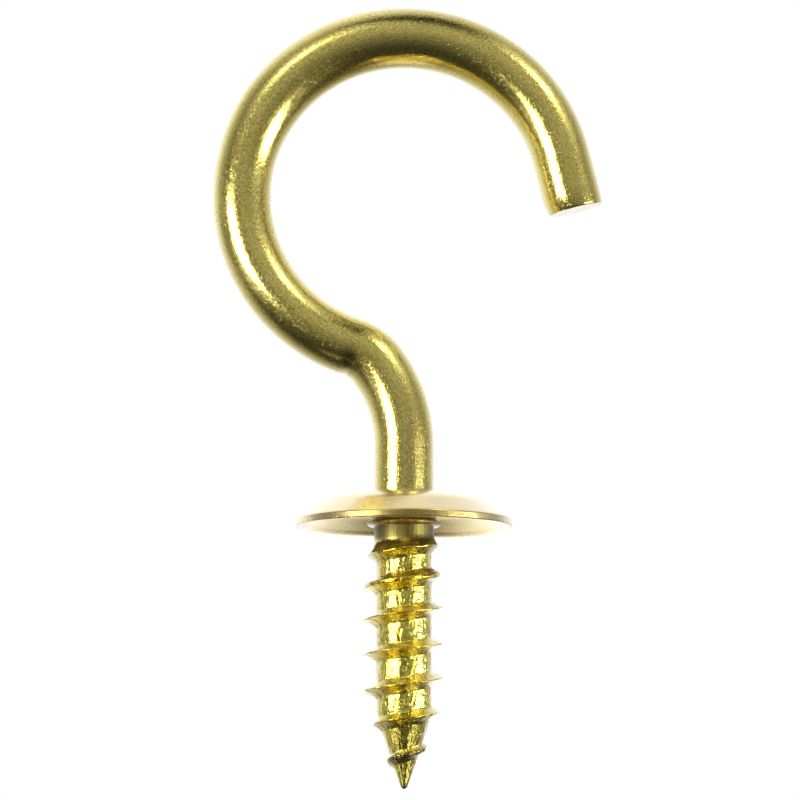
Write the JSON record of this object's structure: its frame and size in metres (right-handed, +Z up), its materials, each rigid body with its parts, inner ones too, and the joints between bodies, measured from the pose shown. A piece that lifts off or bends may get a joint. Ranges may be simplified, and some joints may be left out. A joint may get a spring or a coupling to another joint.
{
  "type": "cup hook",
  "caption": "Brass cup hook: a wire bowl open at one side, a wood-screw thread with a gimlet point, and a dished collar seated on the shank.",
  "frame": {"origin": "centre of the plane that the collar's rim seats on, on the shank's axis", "axes": "+Z up the shank from the screw to the bowl, with the screw along -Z; the hook lies in the XZ plane and its mouth opens towards +X"},
  "size_m": [0.0237, 0.013, 0.0473],
  "materials": {
    "wire": "bright drawn wire, greenish yellow, a little scuffed",
    "sheet": "bright pressed sheet, warmer and paler than the wire"
  },
  "bodies": {
    "root": {"hook": "wire", "collar": "sheet"}
  },
  "joints": []
}
